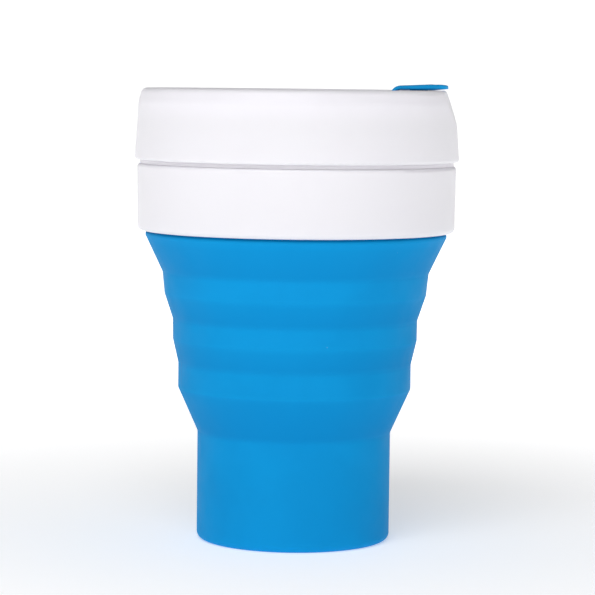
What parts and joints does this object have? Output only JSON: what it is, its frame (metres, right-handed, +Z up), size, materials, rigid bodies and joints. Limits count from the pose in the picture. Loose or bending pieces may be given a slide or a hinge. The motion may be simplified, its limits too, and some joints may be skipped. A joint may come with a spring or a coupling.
{
  "type": "collapsible travel cup",
  "caption": "Folding silicone travel cup with stepped walls that turn inside out, grip sleeve, screw lid with sip face and hinged stopper.",
  "frame": {"origin": "middle of the base where the cup stands", "axes": "+Z up along the cup's axis, +X towards the sip side of the lid"},
  "size_m": [0.0956, 0.0956, 0.135],
  "materials": {
    "silicone_blue": "matte silicone",
    "silicone_stopper": "satin silicone",
    "silicone_clear": "translucent silicone",
    "white_plastic": "satin moulded polypropylene"
  },
  "bodies": {
    "base": {"base_cup": "silicone_blue"},
    "lower_tier": {"bottom_fold_wall": "silicone_blue", "lower_ring": "silicone_blue"},
    "middle_tier": {"lower_fold_wall": "silicone_blue", "middle_ring": "silicone_blue"},
    "upper_tier": {"upper_fold_wall": "silicone_blue", "upper_ring": "silicone_blue"},
    "rim": {"top_fold_wall": "silicone_blue", "silicone_rim": "silicone_blue", "neck_collar": "white_plastic", "stop_flange": "white_plastic"},
    "sleeve": {"grip_sleeve": "white_plastic"},
    "lid_seal": {"lid_seal_ring": "silicone_clear"},
    "lid": {"lid_shell": "white_plastic", "stopper_button": "silicone_stopper", "stopper_flex": "silicone_stopper"},
    "stopper": {"stopper_plug": "silicone_stopper"}
  },
  "joints": [
    {"name": "collapse", "type": "slide", "parent": "base", "child": "lower_tier", "axis": [0, 0, -1], "range_m": [0, 0.026], "deforming": ["bottom_fold_wall"]},
    {"name": "collapse_middle", "type": "slide", "parent": "lower_tier", "child": "middle_tier", "axis": [0, 0, -1], "range_m": [0, 0.0142], "deforming": ["lower_fold_wall"]},
    {"name": "collapse_upper", "type": "slide", "parent": "middle_tier", "child": "upper_tier", "axis": [0, 0, -1], "range_m": [0, 0.015], "deforming": ["upper_fold_wall"]},
    {"name": "collapse_top", "type": "slide", "parent": "upper_tier", "child": "rim", "axis": [0, 0, -1], "range_m": [0, 0.0194], "deforming": ["top_fold_wall"]},
    {"name": "sleeve_slide", "type": "slide", "parent": "rim", "child": "sleeve", "axis": [0, 0, -1], "range_m": [0, 0.014]},
    {"name": "lid_lift", "type": "slide", "parent": "rim", "child": "lid_seal", "axis": [0, 0, 1], "range_m": [0, 0.016]},
    {"name": "lid_turn", "type": "hinge", "parent": "lid_seal", "child": "lid", "pos_m": [0, 0, 0.1255], "axis": [0, 0, 1], "range_deg": [0, 360]},
    {"name": "stopper_flip", "type": "hinge", "parent": "lid", "child": "stopper", "pos_m": [0.009, 0, 0.1278], "axis": [0, -1, 0], "range_deg": [0, 130]}
  ],
  "couplings": [
    {"joint": "collapse_middle", "follows": "collapse", "ratio": 0.54615},
    {"joint": "collapse_upper", "follows": "collapse", "ratio": 0.57692},
    {"joint": "collapse_top", "follows": "collapse", "ratio": 0.74615},
    {"joint": "lid_lift", "follows": "lid_turn", "m_per_rad": 0.002546}
  ]
}
